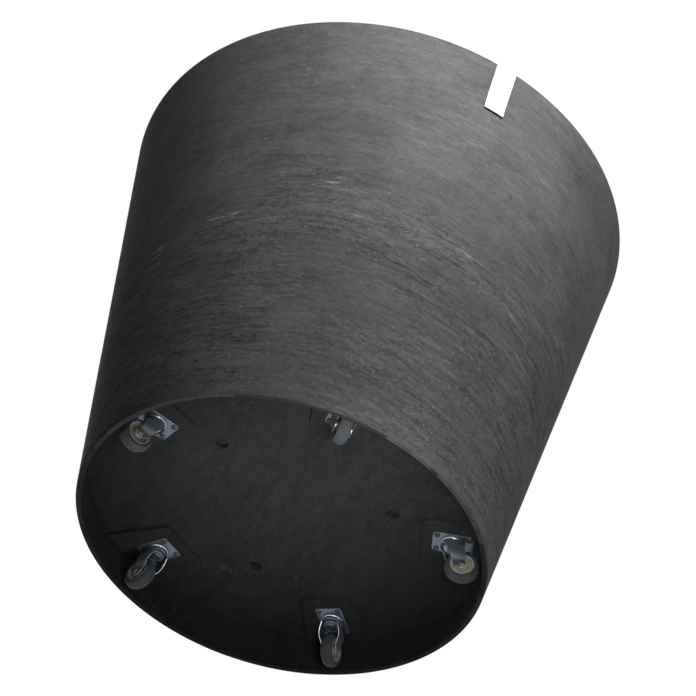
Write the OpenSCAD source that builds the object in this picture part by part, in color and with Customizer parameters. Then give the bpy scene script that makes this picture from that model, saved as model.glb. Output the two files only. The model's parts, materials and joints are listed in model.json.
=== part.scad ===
// Rolling planter: a tapered round tub of stone-filled composite, with a recessed
// base panel that rides on five small swivel castors hidden behind the skirt.
// Millimetres. The ground is z = 0 and the tub's axis is x = y = 0.

/* [Tub] */
// Outside diameter at the rim
rim_d = 800; // [720:5:900]
// Outside diameter at the foot of the skirt
foot_d = 602; // [560:2:680]
// Height of the tub, from the foot of the skirt to the rim
tub_h = 700; // [400:10:900]
// Thickness of the wall and the skirt, measured level
wall_t = 9; // [6:0.5:14]

/* [Rim] */
// Width of the turned-in rim, seen from above
lip_w = 24; // [16:1:40]
// Depth of the turned-in rim on the inside
lip_h = 26; // [12:1:50]
// Rounding of the rim's two upper edges
rim_round = 3; // [1:0.5:5]
// Rounding of the two edges of the foot
foot_round = 2; // [0.5:0.5:3]

/* [Base panel] */
// Height of the panel's underside above the foot of the skirt
floor_lift = 64; // [60:1:90]
// Thickness of the panel between the pads
floor_t = 9; // [7:0.5:14]
// Gap left round the panel's edge for adhesive
bond_gap = 0.3; // [0.1:0.1:1]
// How far each castor pad stands down from the panel
pad_rise = 6.5; // [3:0.5:8]
// Margin between a castor plate and the inner edge of its pad
pad_margin = 16.6; // [8:0.1:20]
// Margin between a castor plate's corner and the pad's side
pad_side_margin = 16.3; // [6:0.1:20]
// Rounding of a pad's inner corners
pad_round = 6; // [2:0.5:12]
// Diameter of the drain holes
drain_d = 19; // [10:1:30]
// Diameter of the circle that the drain holes lie on
drain_circle_d = 306; // [200:2:330]

/* [Castor plate] */
// Length of the plate, which lies along the tub's radius
plate_l = 60; // [56:1:70]
// Width of the plate, across the tub's radius
plate_w = 42; // [41:1:52]
// Thickness of the plate's sheet
plate_t = 2; // [1.5:0.1:3]
// Corner radius of the plate
plate_round = 6; // [3:0.5:8]
// Distance between screw holes along the plate
hole_pitch_l = 48; // [46:1:52]
// Distance between screw holes across the plate
hole_pitch_w = 30; // [28:1:36]
// Depth of the round pressing in the middle of the plate
dish_drop = 2; // [1.5:0.1:3]

/* [Screws] */
// Shank diameter of the plate screws
screw_d = 4.8; // [3.5:0.1:5]
// Diameter of a screw's head
screw_head_d = 8.4; // [7:0.1:10]
// Height of a screw's head
screw_head_h = 2.4; // [1.5:0.1:3]
// How far a screw goes into the panel
screw_bite = 10; // [6:0.5:10]

/* [Swivel head] */
// Overall height of a castor, from the ground to the top of its plate
castor_h = 66.5; // [65:0.5:75]
// Distance from the swivel axis to the axle
trail = 20; // [17:0.5:24]
// Radius of the fork's round crown
crown_r = 17; // [16:0.5:18]
// Thickness of the fork's sheet
sheet_t = 2; // [1.5:0.1:2.5]
// Diameter of the bearing balls
ball_d = 3.2; // [2.6:0.1:3.6]
// How far a ball sits in each of its two races
race_depth = 0.9; // [0.5:0.1:1]
// Radius of the upper circle of balls
upper_race_r = 12.5; // [12:0.1:13]
// Number of balls above the crown
upper_balls = 12; // [6:1:18]
// Radius of the lower circle of balls
lower_race_r = 8.4; // [8.2:0.1:9]
// Number of balls below the crown
lower_balls = 8; // [4:1:12]
// Outer radius of the lower race
race_r = 11.5; // [11:0.1:12.5]
// Thickness of the lower race
race_t = 2.4; // [2:0.1:3]
// Diameter of the kingpin that holds the head together
kingpin_d = 10; // [8:0.5:10.4]
// Radius of the kingpin's upset lower end
kingpin_foot_r = 7.5; // [7:0.1:9]
// Height of the kingpin's upset lower end
kingpin_foot_h = 2.2; // [1.5:0.1:3]

/* [Wheel] */
// Diameter of the wheel over its tyre
wheel_d = 50; // [46:1:52]
// Width of the tyre
tyre_w = 18; // [16:0.5:20]
// Radius of the tyre's rounded tread, seen in section
tread_r = 13; // [11:0.5:16]
// Outer radius of the hub, where the tyre sits
hub_r = 17.4; // [15:0.1:18.5]
// Thickness of the hub's rim
hub_rim_t = 2.1; // [1.5:0.1:3]
// Thickness of the hub's web
web_t = 4; // [3:0.5:6]
// Radius of the hub's middle boss
boss_r = 7.5; // [6:0.1:9]
// Width of the hub's middle boss
boss_w = 20; // [20:0.1:21]
// Outer radius of the bush that the hub turns on
bush_r = 4; // [3.8:0.1:5]
// Radius of the riveted axle
axle_r = 3; // [2.5:0.1:3.3]
// Radius of the axle's two heads
axle_head_r = 4.8; // [4.5:0.1:6]
// Height of the axle's two heads
axle_head_h = 1.2; // [0.8:0.1:2]

/* [Castor layout] */
// Room between a castor's swing circle and the skirt
swing_gap = 4; // [3:0.5:12]
// Direction of the first castor, seen from above
first_castor_angle = -90.6; // [-180:0.1:180]
// How far each wheel is swivelled from pointing straight out
swivel_rest = [-1, -0.5, -1.7, 1.6, 1.8];

/* [Tag] */
// Width of the tag folded over the rim
tag_w = 34; // [20:1:60]
// Thickness of the tag
tag_t = 0.8; // [0.5:0.1:1.5]
// How far the tag hangs down outside
tag_drop = 91; // [40:1:150]
// How far the tag hangs down inside
tag_tuck = 20; // [8:1:23]
// Direction of the tag, seen from above
tag_angle = -80.8; // [-180:0.1:180]

/* [Clearances] */
// Gap between a ball and its race, and between a turning part and its bore
run_gap = 0.1; // [0.1:0.05:0.2]
// Gap between two parts that are pressed or clamped together
seat_gap = 0.05; // [0.02:0.01:0.1]
// Gap between the tag and the rim
tag_gap = 0.3; // [0.1:0.1:0.6]
// Gap between the turning hub and a fork leg
side_gap = 0.3; // [0.2:0.1:0.6]
// Gap between the crown and the kingpin
crown_gap = 0.3; // [0.2:0.05:0.5]
// Gap between a screw's shank and its hole in the plate
screw_gap = 0.3; // [0.2:0.05:0.5]

/* [Hidden] */
castor_count = 5;
drain_count = 3;
first_drain_angle = 90;
castor_pieces = ["plate", "screws", "kingpin", "lower_race", "balls",
                 "fork", "axle", "bush", "hub", "tyre"];

big_fn = 144;
small_fn = 48;
hull_fn = 32;
ball_fn = 24;
round_steps = 5;
// Overrun of a cut past the face that it opens
over = 1;

// Tub: radii and heights
rim_r = rim_d / 2;
foot_r = foot_d / 2;
foot_z = castor_h + pad_rise - floor_lift;
rim_z = foot_z + tub_h;
slope = atan((rim_r - foot_r) / tub_h);
lip_in_r = rim_r - lip_w;
floor_z = foot_z + floor_lift;
floor_top_z = floor_z + floor_t;
pad_z = floor_z - pad_rise;
function outside_r(z) = foot_r + (z - foot_z) * tan(slope);
function inside_r(z) = outside_r(z) - wall_t;
function arc(c, r, a0, a1, n = round_steps) =
    [for (i = [0:n]) let (t = a0 + (a1 - a0) * i / n) c + r * [cos(t), sin(t)]];
function turned(points) = [for (i = [len(points) - 1:-1:0]) points[i]];

// Centres of the roundings of the rim and the foot
rim_out_c = [outside_r(rim_z - rim_round) - rim_round / cos(slope), rim_z - rim_round];
rim_in_c = [lip_in_r + rim_round, rim_z - rim_round];
foot_out_c = [outside_r(foot_z + foot_round) - foot_round / cos(slope), foot_z + foot_round];
foot_in_c = [inside_r(foot_z + foot_round) + foot_round / cos(slope), foot_z + foot_round];
// The rim's underside falls at 45 degrees to the wall
lip_fall = (inside_r(rim_z - lip_h) - lip_in_r) / (1 + tan(slope));

// Castor layout
swing_r = norm([trail + wheel_d / 2, tyre_w / 2]);
castor_circle_r = foot_r - wall_t - swing_gap - swing_r;
function castor_angle(k) = first_castor_angle + (k - 1) * 360 / castor_count;
pad_in_r = castor_circle_r - plate_l / 2 - pad_margin;
pad_half_w = plate_w / 2 + pad_side_margin;

// Castor: heights of the swivel head, from the plate down
plate_z = castor_h - plate_t;
dish_z = plate_z - dish_drop;
race_gap = ball_d - 2 * race_depth;
crown_top_z = dish_z - race_gap;
crown_z = crown_top_z - sheet_t;
race_top_z = crown_z - race_gap;
race_z = race_top_z - race_t;
upper_ball_z = dish_z + race_depth - ball_d / 2;
lower_ball_z = crown_z + race_depth - ball_d / 2;
groove_r = ball_d / 2 + run_gap;
kingpin_r = kingpin_d / 2;
// The dish's underside is as wide as the crown, and its top a sheet narrower
dish_r = crown_r;
dish_edge_r = dish_r + dish_drop / 2;
kingpin_head_r = upper_race_r - ball_d;
kingpin_head_h = dish_drop - run_gap;
pilot_h = screw_bite + run_gap;

// Wheel, axle and fork legs
wheel_r = wheel_d / 2;
axle_z = wheel_r;
leg_in = boss_w / 2 + side_gap;
leg_out = leg_in + sheet_t;
bore_r = axle_r + run_gap;
hub_bore_r = bush_r + run_gap;
hub_in_r = hub_r - hub_rim_t;
// The leg's foot: its width and how far it goes below and above the axle
leg_foot_w = 1.15 * crown_r;
leg_foot_back = 0.65 * leg_foot_w;
leg_foot_front = leg_foot_w - leg_foot_back;
leg_below = 2 * bore_r;
leg_above = 3 * bore_r;
leg_round = leg_below;
// The ear is the leg's upper front corner
ear_x = trail + sheet_t / 2;
ear_z = crown_z - 4 * sheet_t;
ear_round = sheet_t;
crown_bend = 1.5 * sheet_t;
crown_skirt_h = 2 * sheet_t;
notch_x = crown_r - 1.25 * sheet_t;

// Places of the hub's details as shares of the web between boss and rim
web_ring_share = 0.55;
web_ring_w_share = 0.12;

composite = [0.24, 0.24, 0.25];
underside = [0.2, 0.2, 0.21];
steel = [0.66, 0.69, 0.74];
dark_steel = [0.32, 0.33, 0.36];
cream = [0.82, 0.8, 0.7];
grey_rubber = [0.47, 0.49, 0.52];
paper = [0.95, 0.95, 0.94];

// Tub wall with the skirt below and the turned-in rim above, as one revolved section
module outer_shell() {
    color(composite)
        rotate_extrude($fn = big_fn)
            polygon(concat(
                arc(foot_out_c, foot_round, -90, -slope),
                arc(rim_out_c, rim_round, -slope, 90),
                arc(rim_in_c, rim_round, 90, 180),
                [[lip_in_r, rim_z - lip_h],
                 [lip_in_r + lip_fall, rim_z - lip_h - lip_fall]],
                arc(foot_in_c, foot_round, 180 - slope, 270)
            ));
}

// Outline of a pad under the panel: a straight inner edge and two sides on the tub's radii
module pad_outline() {
    side_a = atan(pad_half_w / pad_in_r);
    cx = pad_in_r + pad_round;
    cy = (cx * sin(side_a) - pad_round) / cos(side_a);
    polygon(concat(
        [[foot_r, -foot_r * tan(side_a)], [foot_r, foot_r * tan(side_a)]],
        arc([cx, cy], pad_round, 90 + side_a, 180),
        arc([cx, -cy], pad_round, 180, 270 - side_a)
    ));
}

// Panel bonded inside the skirt: five raised pads below, three drain holes, screw pilots
module base_panel() {
    color(underside)
        difference() {
            intersection() {
                rotate_extrude($fn = big_fn)
                    polygon([[0, pad_z], [inside_r(pad_z) - bond_gap, pad_z],
                             [inside_r(floor_top_z) - bond_gap, floor_top_z], [0, floor_top_z]]);
                union() {
                    translate([0, 0, floor_z]) cylinder(h = floor_t + over, r = foot_r + wall_t, $fn = big_fn);
                    for (k = [1:castor_count])
                        rotate([0, 0, castor_angle(k)])
                            translate([0, 0, pad_z - over])
                                linear_extrude(pad_rise + 2 * over) pad_outline();
                }
            }
            for (i = [0:drain_count - 1])
                rotate([0, 0, first_drain_angle + i * 360 / drain_count])
                    translate([drain_circle_d / 2, 0, pad_z - over])
                        cylinder(h = floor_t + pad_rise + 2 * over, d = drain_d, $fn = small_fn);
            for (k = [1:castor_count])
                place_head(k)
                    at_holes()
                        translate([0, 0, pad_z - over])
                            cylinder(h = pilot_h + over, r = screw_d / 2 + seat_gap, $fn = small_fn);
        }
}

// White tag folded over the rim, a thin strip that follows the rim's section
function tag_path(r) = concat(
    [rim_out_c + r * [cos(slope), -sin(slope)] - tag_drop * [sin(slope), cos(slope)]],
    arc(rim_out_c, r, -slope, 90),
    arc(rim_in_c, r, 90, 180),
    [[rim_in_c[0] - r, rim_in_c[1] - tag_tuck]]
);
module rim_tag() {
    span = 2 * asin(tag_w / 2 / rim_r);
    inner = rim_round + tag_gap;
    color(paper)
        rotate([0, 0, tag_angle - span / 2])
            rotate_extrude(angle = span, $fn = big_fn)
                polygon(concat(tag_path(inner + tag_t), turned(tag_path(inner))));
}

// Places its children at a castor's swivel axis, x along the tub's radius
module place_head(k) {
    rotate([0, 0, castor_angle(k)])
        translate([castor_circle_r, 0, 0])
            children();
}

// The same place with x along the wheel's trail
module place_swivel(k) {
    place_head(k)
        rotate([0, 0, swivel_rest[k - 1]])
            children();
}

// The axle's place, z along the axle
module on_axle() {
    translate([trail, 0, axle_z])
        rotate([90, 0, 0])
            children();
}

module at_holes() {
    for (sx = [-1, 1])
        for (sy = [-1, 1])
            translate([sx * hole_pitch_l / 2, sy * hole_pitch_w / 2, 0])
                children();
}

// Ring with a round section: the path that a row of balls runs in
module race(r, z) {
    translate([0, 0, z])
        rotate_extrude($fn = small_fn)
            translate([r, 0])
                circle(r = groove_r, $fn = ball_fn);
}

// Mounting plate: flat sheet with rounded corners, pressed down in the middle as upper race
module plate() {
    c = [plate_l / 2 - plate_round, plate_w / 2 - plate_round];
    color(steel)
        difference() {
            union() {
                translate([0, 0, plate_z])
                    linear_extrude(plate_t)
                        difference() {
                            polygon(concat(
                                arc([c[0], c[1]], plate_round, 0, 90),
                                arc([-c[0], c[1]], plate_round, 90, 180),
                                arc([-c[0], -c[1]], plate_round, 180, 270),
                                arc([c[0], -c[1]], plate_round, 270, 360)
                            ));
                            circle(r = dish_edge_r, $fn = small_fn);
                        }
                rotate_extrude($fn = small_fn)
                    polygon([
                        [kingpin_r + seat_gap, dish_z],
                        [dish_r, dish_z],
                        [dish_edge_r, plate_z],
                        [dish_edge_r, castor_h],
                        [dish_r - plate_t / 2, castor_h],
                        [dish_r - plate_t, castor_h - dish_drop],
                        [kingpin_r + seat_gap, castor_h - dish_drop]
                    ]);
            }
            race(upper_race_r, upper_ball_z);
            at_holes()
                translate([0, 0, plate_z - over])
                    cylinder(h = plate_t + 2 * over, r = screw_d / 2 + screw_gap, $fn = small_fn);
        }
}

// Four pan-head screws, from below through the plate into the panel
module screws() {
    color(dark_steel)
        at_holes() {
            translate([0, 0, plate_z]) cylinder(h = plate_t + screw_bite, d = screw_d, $fn = small_fn);
            translate([0, 0, plate_z - screw_head_h / 2])
                cylinder(h = screw_head_h / 2, d = screw_head_d, $fn = small_fn);
            translate([0, 0, plate_z - screw_head_h])
                cylinder(h = screw_head_h / 2, d1 = screw_d, d2 = screw_head_d, $fn = small_fn);
        }
}

// Kingpin: flat head in the plate's dish, and an upset foot under the lower race
module kingpin() {
    color(dark_steel)
        rotate_extrude($fn = small_fn)
            polygon([
                [0, race_z - kingpin_foot_h],
                [kingpin_foot_r - kingpin_foot_h / 2, race_z - kingpin_foot_h],
                [kingpin_foot_r, race_z - kingpin_foot_h / 2],
                [kingpin_foot_r, race_z],
                [kingpin_r, race_z],
                [kingpin_r, castor_h - dish_drop],
                [kingpin_head_r, castor_h - dish_drop],
                [kingpin_head_r - kingpin_head_h / 2, castor_h - dish_drop + kingpin_head_h],
                [0, castor_h - dish_drop + kingpin_head_h]
            ]);
}

// Lower race: a thick washer with the balls' groove in its upper face
module lower_race() {
    color(steel)
        difference() {
            translate([0, 0, race_z]) cylinder(h = race_t, r = race_r, $fn = small_fn);
            translate([0, 0, race_z - over])
                cylinder(h = race_t + 2 * over, r = kingpin_r + seat_gap, $fn = small_fn);
            race(lower_race_r, lower_ball_z);
        }
}

// Both rows of bearing balls, above and below the crown
module balls() {
    color(steel) {
        for (i = [1:upper_balls])
            rotate([0, 0, i * 360 / upper_balls])
                translate([upper_race_r, 0, upper_ball_z]) sphere(d = ball_d, $fn = ball_fn);
        for (i = [1:lower_balls])
            rotate([0, 0, i * 360 / lower_balls])
                translate([lower_race_r, 0, lower_ball_z]) sphere(d = ball_d, $fn = ball_fn);
    }
}

// Block between the two feet of the legs, from a height z to a height top
module foot_block(t, z, top) {
    translate([trail - leg_foot_back - over, t - leg_out, z])
        cube([leg_foot_w + 2 * over, 2 * (leg_out - t), top - z]);
}

// Space that the fork's pressing encloses, smaller by a sheet on every side when t > 0
module fork_form(t) {
    bend_z = crown_top_z - t - crown_bend;
    skirt_z = crown_z - crown_skirt_h;
    foot_block(t, axle_z - leg_below - (t > 0 ? over : 0), axle_z + leg_above);
    hull() {
        translate([0, 0, bend_z])
            cylinder(h = crown_bend, r1 = crown_r - t, r2 = crown_r - t - crown_bend / 2, $fn = hull_fn);
        translate([0, 0, skirt_z])
            cylinder(h = bend_z - skirt_z, r = crown_r - t, $fn = hull_fn);
        for (side = [-1, 1])
            translate([ear_x + over, side * (crown_r - crown_bend - t), ear_z - ear_round])
                cylinder(h = ear_round, r = ear_round / 2, $fn = hull_fn);
        foot_block(t, axle_z + leg_above - over, axle_z + leg_above);
    }
}

// Side outline of the fork: crown, ear, curved rear edge and rounded foot
module fork_side() {
    foot_x = trail - leg_foot_back;
    toe_x = trail + leg_foot_front;
    foot_c = [foot_x + leg_round, axle_z - leg_below + leg_round];
    toe_c = [toe_x - leg_round, axle_z - leg_below + leg_round];
    back_r = crown_r;
    polygon(concat(
        [[-crown_r - over, crown_top_z + over],
         [-crown_r - over, crown_z]],
        [[-crown_r + sheet_t, crown_z - sheet_t]],
        arc([foot_x - back_r, axle_z + leg_above], back_r, 35, 0, 3),
        arc(foot_c, leg_round, 180, 270),
        arc(toe_c, leg_round, 270, 360),
        [[toe_x - sheet_t, axle_z + leg_above]],
        arc([ear_x - ear_round, ear_z - ear_round], ear_round, 0, 90),
        [[notch_x, ear_z],
         [notch_x, crown_z - sheet_t],
         [crown_r + over, crown_z - sheet_t],
         [crown_r + over, crown_top_z + over]]
    ));
}

// Pressed steel fork: one sheet bent over the crown and down both sides of the wheel
module fork() {
    color(steel)
        difference() {
            intersection() {
                difference() {
                    fork_form(0);
                    fork_form(sheet_t);
                    translate([-wheel_d, -boss_w / 2, 0]) cube([2 * wheel_d, boss_w, crown_z - sheet_t / 2]);
                }
                translate([0, crown_r + over, 0])
                    rotate([90, 0, 0])
                        linear_extrude(2 * (crown_r + over)) fork_side();
            }
            race(upper_race_r, upper_ball_z);
            race(lower_race_r, lower_ball_z);
            translate([0, 0, crown_z - over])
                cylinder(h = sheet_t + 2 * over, r = kingpin_r + crown_gap, $fn = small_fn);
            on_axle()
                translate([0, 0, -leg_out - over])
                    cylinder(h = 2 * (leg_out + over), r = bore_r, $fn = small_fn);
        }
}

// Riveted axle with a low head on each leg
module axle() {
    color(dark_steel)
        on_axle()
            rotate_extrude($fn = small_fn)
                polygon([
                    [0, -leg_out - axle_head_h],
                    [axle_head_r - axle_head_h / 2, -leg_out - axle_head_h],
                    [axle_head_r, -leg_out - axle_head_h / 2],
                    [axle_head_r, -leg_out],
                    [axle_r, -leg_out],
                    [axle_r, leg_out],
                    [axle_head_r, leg_out],
                    [axle_head_r, leg_out + axle_head_h / 2],
                    [axle_head_r - axle_head_h / 2, leg_out + axle_head_h],
                    [0, leg_out + axle_head_h]
                ]);
}

// Steel bush clamped between the legs, which the hub turns on
module bush() {
    color(steel)
        on_axle()
            difference() {
                cylinder(h = 2 * (leg_in - seat_gap), r = bush_r, center = true, $fn = small_fn);
                cylinder(h = 2 * (leg_in + over), r = bore_r, center = true, $fn = small_fn);
            }
}

// Moulded hub: rim with a raised lip, dished web with a ring, and a middle boss
module hub() {
    half = tyre_w / 2;
    web = web_t / 2;
    span = hub_in_r - boss_r;
    ring_r = boss_r + web_ring_share * span;
    ring_w = web_ring_w_share * span;
    lip_h_side = half - web;
    color(cream)
        on_axle()
            difference() {
                union() {
                    difference() {
                        cylinder(h = 2 * half, r = hub_r, center = true, $fn = small_fn);
                        for (side = [-1, 1])
                            scale([1, 1, side])
                                translate([0, 0, web])
                                    cylinder(h = lip_h_side + over, r = hub_in_r, $fn = small_fn);
                    }
                    difference() {
                        cylinder(h = 2 * (web + ring_w), r = ring_r + ring_w, center = true, $fn = small_fn);
                        cylinder(h = 2 * (web + ring_w) + over, r = ring_r, center = true, $fn = small_fn);
                    }
                    cylinder(h = boss_w, r = boss_r, center = true, $fn = small_fn);
                }
                cylinder(h = boss_w + over, r = hub_bore_r, center = true, $fn = small_fn);
            }
}

// Rubber tyre with a rounded tread, seated on the hub's rim
module tyre() {
    color(grey_rubber)
        on_axle()
            rotate_extrude($fn = 2 * small_fn)
                intersection() {
                    translate([hub_r + seat_gap, -tyre_w / 2]) square([wheel_r - hub_r, tyre_w]);
                    translate([wheel_r - tread_r, 0]) circle(r = tread_r, $fn = 2 * small_fn);
                }
}

// Draws one piece of one castor at its place
module castor_piece(k, piece) {
    if (piece == "plate") place_head(k) plate();
    if (piece == "screws") place_head(k) screws();
    if (piece == "kingpin") place_head(k) kingpin();
    if (piece == "lower_race") place_head(k) lower_race();
    if (piece == "balls") place_swivel(k) balls();
    if (piece == "fork") place_swivel(k) fork();
    if (piece == "axle") place_swivel(k) axle();
    if (piece == "bush") place_swivel(k) bush();
    if (piece == "hub") place_swivel(k) hub();
    if (piece == "tyre") place_swivel(k) tyre();
}

outer_shell();
base_panel();
rim_tag();
for (k = [1:castor_count])
    for (piece = castor_pieces)
        castor_piece(k, piece);
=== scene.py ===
import json
import math

import bmesh
import bpy
from mathutils import Matrix, Vector

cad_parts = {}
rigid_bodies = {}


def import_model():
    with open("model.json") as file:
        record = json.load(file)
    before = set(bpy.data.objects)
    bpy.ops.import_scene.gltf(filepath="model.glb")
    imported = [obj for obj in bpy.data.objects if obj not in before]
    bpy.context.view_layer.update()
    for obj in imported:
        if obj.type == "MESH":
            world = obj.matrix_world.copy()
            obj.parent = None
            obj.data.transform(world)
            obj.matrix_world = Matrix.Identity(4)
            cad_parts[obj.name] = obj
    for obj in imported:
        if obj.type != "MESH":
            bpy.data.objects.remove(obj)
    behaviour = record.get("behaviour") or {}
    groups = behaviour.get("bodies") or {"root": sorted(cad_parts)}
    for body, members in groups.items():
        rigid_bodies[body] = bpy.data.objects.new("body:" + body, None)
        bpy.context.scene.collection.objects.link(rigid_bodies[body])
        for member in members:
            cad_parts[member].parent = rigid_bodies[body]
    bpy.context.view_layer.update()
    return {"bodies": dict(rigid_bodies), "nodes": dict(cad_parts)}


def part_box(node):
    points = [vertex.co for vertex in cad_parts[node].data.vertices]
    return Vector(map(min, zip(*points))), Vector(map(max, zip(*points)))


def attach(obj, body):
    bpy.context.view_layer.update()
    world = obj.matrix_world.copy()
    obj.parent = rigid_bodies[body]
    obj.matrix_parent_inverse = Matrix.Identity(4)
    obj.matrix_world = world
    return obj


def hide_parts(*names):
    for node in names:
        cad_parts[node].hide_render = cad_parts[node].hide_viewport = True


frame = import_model()
tiny = 1e-6

castorNumbers = sorted(int(name.split("_")[1]) for name in frame["bodies"] if name.startswith("swivel_"))


def castorNode(number, piece):
    return f"caster_{number}_{piece}"


def middleOf(nodeName):
    low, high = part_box(nodeName)
    return (low + high) / 2


# Where a castor's head and wheel are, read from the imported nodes
def castorPlace(number):
    pin = middleOf(castorNode(number, "kingpin"))
    tyre = middleOf(castorNode(number, "tyre"))
    move = Matrix.Translation((pin.x, pin.y, 0))
    return {
        "plate": move @ Matrix.Rotation(math.atan2(pin.y, pin.x), 4, "Z"),
        "swivel": move @ Matrix.Rotation(math.atan2(tyre.y - pin.y, tyre.x - pin.x), 4, "Z"),
        "trail": Vector((tyre.x - pin.x, tyre.y - pin.y)).length,
        "axleHeight": tyre.z,
    }


places = {number: castorPlace(number) for number in castorNumbers}
trail = places[castorNumbers[0]]["trail"]
axleHeight = places[castorNumbers[0]]["axleHeight"]


# Mesh helpers

def smoothShade(mesh, angle):
    mesh.shade_smooth()
    mesh.set_sharp_from_angle(angle=math.radians(angle))


def putObject(name, data):
    piece = bpy.data.objects.new(name, data)
    bpy.context.scene.collection.objects.link(piece)
    return piece


def makePiece(name, points, faces, sharpAngle=35):
    mesh = bpy.data.meshes.new(name)
    mesh.from_pydata([tuple(point) for point in points], [], faces)
    work = bmesh.new()
    work.from_mesh(mesh)
    bmesh.ops.remove_doubles(work, verts=work.verts, dist=tiny)
    bmesh.ops.recalc_face_normals(work, faces=work.faces)
    work.to_mesh(mesh)
    work.free()
    smoothShade(mesh, sharpAngle)
    return putObject(name, mesh)


def polar(radius, angle):
    return radius * math.cos(angle), radius * math.sin(angle)


# A closed strip of quads between two loops of point numbers
def bridge(lower, upper):
    count = len(lower)
    return [(lower[i], lower[(i + 1) % count], upper[(i + 1) % count], upper[i]) for i in range(count)]


# Turns a list of (radius, height) about Z; a closed list is a ring's section
def turn(profile, segments, closed=False):
    points, faces, rings = [], [], []
    for radius, height in profile:
        if radius < tiny:
            rings.append([len(points)] * segments)
            points.append((0, 0, height))
        else:
            rings.append([len(points) + i for i in range(segments)])
            points += [(*polar(radius, 2 * math.pi * i / segments), height) for i in range(segments)]
    if closed:
        rings.append(rings[0])
    for lower, upper in zip(rings, rings[1:]):
        # A point on the axis takes one corner of its faces, not two
        quads = [list(dict.fromkeys(quad)) for quad in bridge(lower, upper)]
        faces += [quad for quad in quads if len(quad) > 2]
    return points, faces


def arc(centre, radius, start, end, steps):
    turned = [polar(radius, math.radians(start + (end - start) * i / steps)) for i in range(steps + 1)]
    return [(centre[0] + x, centre[1] + y) for x, y in turned]


# Points at even steps between two, without the ends
def between(start, end, count):
    shares = [i / count for i in range(1, count)]
    return [tuple(a + (b - a) * share for a, b in zip(start, end)) for share in shares]


def finishMesh(piece, matrix):
    piece.data.transform(matrix)
    piece.data.update()
    return piece


# A copy of a model at a castor
def placeCopy(model, name, matrix):
    piece = model.copy()
    piece.data = model.data.copy()
    piece.name = name
    piece.data.name = name
    bpy.context.scene.collection.objects.link(piece)
    return finishMesh(piece, matrix)


def takeAway(*models):
    for model in models:
        bpy.data.objects.remove(model)


def applyModifiers(piece, name, sharpAngle):
    bpy.context.view_layer.update()
    shown = piece.evaluated_get(bpy.context.evaluated_depsgraph_get())
    mesh = bpy.data.meshes.new_from_object(shown)
    mesh.name = name
    piece.modifiers.clear()
    piece.data = mesh
    smoothShade(mesh, sharpAngle)
    return piece


def addModifier(piece, kind, **settings):
    modifier = piece.modifiers.new(kind.title(), kind)
    for key, value in settings.items():
        setattr(modifier, key, value)
    return modifier


# Node helpers, for materials and for geometry trees

# A node with its settings; inputs holds a number or an output for each of its sockets
def addNode(tree, kind, inputs=None, **settings):
    node = tree.nodes.new(kind)
    for key, value in settings.items():
        setattr(node, key, value)
    for key, value in (inputs or {}).items():
        wire(tree, value, node.inputs[key])
    return node


def wire(tree, value, socket):
    if isinstance(value, bpy.types.NodeSocket):
        tree.links.new(value, socket)
    else:
        socket.default_value = value


def calculate(tree, operation, *values):
    return addNode(tree, "ShaderNodeMath", dict(enumerate(values)), operation=operation).outputs[0]


def vectorMath(tree, operation, first, second):
    place = "Scale" if operation == "SCALE" else 1
    return addNode(tree, "ShaderNodeVectorMath", {0: first, place: second}, operation=operation).outputs[0]


def alongZ(tree, value):
    return addNode(tree, "ShaderNodeCombineXYZ", {"Z": value}).outputs[0]


# Noise on stretched coordinates; stretch is how often it repeats a metre along each axis
def grain(tree, place, stretch, detail=3, roughness=0.5):
    return addNode(tree, "ShaderNodeTexNoise", {
        "Vector": vectorMath(tree, "MULTIPLY", place, stretch), "Scale": 1,
        "Detail": detail, "Roughness": roughness}).outputs[0]


def remap(tree, value, fromLow, fromHigh, toLow, toHigh, kind="LINEAR"):
    numbers = dict(enumerate((value, fromLow, fromHigh, toLow, toHigh)))
    return addNode(tree, "ShaderNodeMapRange", numbers, interpolation_type=kind).outputs[0]


def socketsOf(sockets, kind):
    return [socket for socket in sockets if socket.type == kind]


def mixColour(tree, factor, first, second):
    node = addNode(tree, "ShaderNodeMix", {"Factor": factor}, data_type="RGBA")
    for value, socket in zip((first, second), socketsOf(node.inputs, "RGBA")):
        wire(tree, value, socket)
    return socketsOf(node.outputs, "RGBA")[0]


def newMaterial(name, roughness=0.5, metallic=0.0, specular=0.5):
    material = bpy.data.materials.new(name)
    material.use_nodes = True
    shader = material.node_tree.nodes["Principled BSDF"]
    shader.inputs["Roughness"].default_value = roughness
    shader.inputs["Metallic"].default_value = metallic
    shader.inputs["Specular IOR Level"].default_value = specular
    return material, material.node_tree, shader


def objectPlace(tree):
    return addNode(tree, "ShaderNodeTexCoord").outputs["Object"]


def addBump(tree, shader, height, distance, strength=1.0):
    bump = addNode(tree, "ShaderNodeBump", {"Strength": strength, "Distance": distance, "Height": height})
    tree.links.new(bump.outputs[0], shader.inputs["Normal"])


def grey(value, tint=(1, 1, 1)):
    return (value * tint[0], value * tint[1], value * tint[2], 1)


# Composite: dark stone-filled resin, brushed round the wall, or trowelled on the panel, whose copy is
# darker as painted shade for the recess under the tub

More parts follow.
